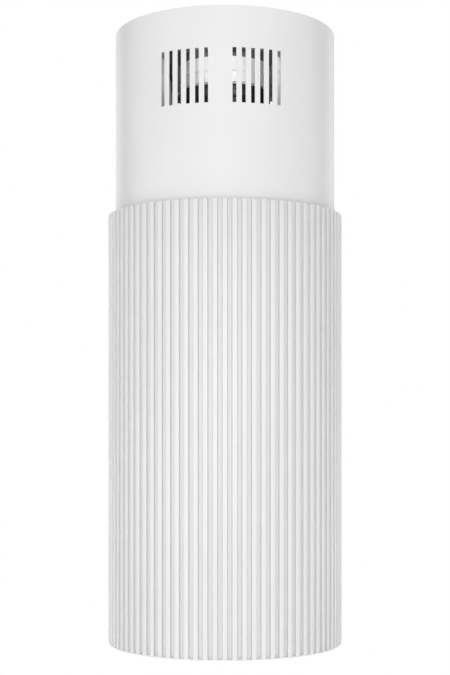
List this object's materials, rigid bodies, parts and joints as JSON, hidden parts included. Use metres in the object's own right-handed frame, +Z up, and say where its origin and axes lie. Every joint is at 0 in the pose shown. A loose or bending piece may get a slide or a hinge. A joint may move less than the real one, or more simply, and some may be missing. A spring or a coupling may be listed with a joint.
{
  "type": "ceiling-hung air purifier",
  "caption": "Ceiling-hung cylindrical recirculating air purifier: slotted tube, fluted telescoping sleeve, filtered intake underneath.",
  "frame": {"origin": "middle of the ceiling plate's top face, where the object meets the ceiling", "axes": "+Z up, towards the ceiling; -Y the front, where the buttons are; +X to the right as seen from the front"},
  "size_m": [0.3896, 0.3896, 1.01],
  "materials": {
    "casing_white": "fine satin powder coat",
    "collar_white": "moulded satin plastic",
    "galvanised": "galvanised steel sheet, faint spangle",
    "frame_black": "satin black paint",
    "zinc_fastener": "zinc-plated steel",
    "duct_black": "ribbed black laminate",
    "black_plastic": "fine-textured black plastic",
    "pad_nylon": "natural nylon",
    "motor_grey": "dark grey enamel",
    "shaft_steel": "ground steel",
    "charcoal": "pelleted charcoal",
    "filter_steel": "brushed stainless steel",
    "filter_mesh": "layered expanded aluminium mesh",
    "lens_opal": "opal diffuser",
    "button_chrome": "satin metal cap",
    "board_green": "circuit board lacquer",
    "capacitor_white": "gloss plastic can",
    "terminal_cream": "terminal plastic",
    "magnet_black": "ferrite"
  },
  "bodies": {
    "ceiling_mount": {"ceiling_plate": "galvanised", "upper_tube": "casing_white", "tube_screws": "casing_white", "upper_rails_left": "galvanised", "upper_rails_right": "galvanised", "rail_screws": "zinc_fastener", "height_screws": "zinc_fastener", "height_nuts": "zinc_fastener", "terminal_box": "galvanised", "terminal_block": "terminal_cream", "cable_grommet": "black_plastic", "duct_bridge": "frame_black", "outlet_collar": "collar_white", "flex_duct": "duct_black", "top_hose_clamp": "frame_black"},
    "hood_unit": {"fluted_sleeve": "casing_white", "sleeve_top_hoop": "casing_white", "guide_pads": "pad_nylon", "base_ring": "casing_white", "base_plate": "casing_white", "lower_rails_left": "galvanised", "lower_rails_right": "galvanised", "chassis_posts_left": "galvanised", "chassis_posts_right": "galvanised", "chassis_plate": "galvanised", "chassis_screws": "zinc_fastener", "blower_collar": "collar_white", "bottom_hose_clamp": "frame_black", "damper_pin": "shaft_steel", "blower_shell_left": "galvanised", "blower_shell_right": "galvanised", "motor": "motor_grey", "motor_bracket": "galvanised", "control_box": "galvanised", "control_board": "board_green", "capacitor": "capacitor_white", "switch_housing": "black_plastic", "catch_magnets": "magnet_black", "lamp_bezel_left": "filter_steel", "lamp_bezel_right": "filter_steel", "lamp_lens_left": "lens_opal", "lamp_lens_right": "lens_opal"},
    "damper_flap_front": {"damper_flap_front": "black_plastic"},
    "damper_flap_rear": {"damper_flap_rear": "black_plastic"},
    "fan": {"impeller": "black_plastic", "motor_shaft": "shaft_steel", "impeller_nut": "zinc_fastener"},
    "charcoal_left": {"charcoal_case_left": "black_plastic", "charcoal_core_left": "charcoal"},
    "charcoal_right": {"charcoal_case_right": "black_plastic", "charcoal_core_right": "charcoal"},
    "grease_filter": {"filter_frame": "filter_steel", "filter_mesh": "filter_mesh", "filter_pull": "filter_steel"},
    "button_light_cap": {"button_light": "button_chrome"},
    "button_slower_cap": {"button_slower": "button_chrome"},
    "button_power_cap": {"button_power": "button_chrome"},
    "button_faster_cap": {"button_faster": "button_chrome"},
    "button_timer_cap": {"button_timer": "button_chrome"}
  },
  "joints": [
    {"name": "height_slide", "type": "slide", "parent": "ceiling_mount", "child": "hood_unit", "axis": [0, 0, 1], "range_m": [-0.12, 0.13], "deforming": ["flex_duct"]},
    {"name": "damper_front_hinge", "type": "hinge", "parent": "hood_unit", "child": "damper_flap_front", "pos_m": [0, 0, -0.612], "axis": [-1, 0, 0], "range_deg": [0, 75]},
    {"name": "damper_rear_hinge", "type": "hinge", "parent": "hood_unit", "child": "damper_flap_rear", "pos_m": [0, 0, -0.612], "axis": [1, 0, 0], "range_deg": [0, 75]},
    {"name": "fan_spin", "type": "hinge", "parent": "hood_unit", "child": "fan", "pos_m": [0, -0.058, -0.79], "axis": [1, 0, 0], "continuous": true},
    {"name": "charcoal_left_twist", "type": "hinge", "parent": "hood_unit", "child": "charcoal_left", "pos_m": [0, -0.058, -0.79], "axis": [1, 0, 0], "range_deg": [0, 25]},
    {"name": "charcoal_right_twist", "type": "hinge", "parent": "hood_unit", "child": "charcoal_right", "pos_m": [0, -0.058, -0.79], "axis": [-1, 0, 0], "range_deg": [0, 25]},
    {"name": "grease_filter_hinge", "type": "hinge", "parent": "hood_unit", "child": "grease_filter", "pos_m": [0, 0.112, -1.003], "axis": [1, 0, 0], "range_deg": [0, 85]},
    {"name": "button_light_press", "type": "slide", "parent": "hood_unit", "child": "button_light_cap", "axis": [0, 0, 1], "range_m": [0, 0.0015], "stiffness_N_per_m": 300, "springref_m": -0.001},
    {"name": "button_slower_press", "type": "slide", "parent": "hood_unit", "child": "button_slower_cap", "axis": [0, 0, 1], "range_m": [0, 0.0015], "stiffness_N_per_m": 300, "springref_m": -0.001},
    {"name": "button_power_press", "type": "slide", "parent": "hood_unit", "child": "button_power_cap", "axis": [0, 0, 1], "range_m": [0, 0.0015], "stiffness_N_per_m": 300, "springref_m": -0.001},
    {"name": "button_faster_press", "type": "slide", "parent": "hood_unit", "child": "button_faster_cap", "axis": [0, 0, 1], "range_m": [0, 0.0015], "stiffness_N_per_m": 300, "springref_m": -0.001},
    {"name": "button_timer_press", "type": "slide", "parent": "hood_unit", "child": "button_timer_cap", "axis": [0, 0, 1], "range_m": [0, 0.0015], "stiffness_N_per_m": 300, "springref_m": -0.001}
  ]
}
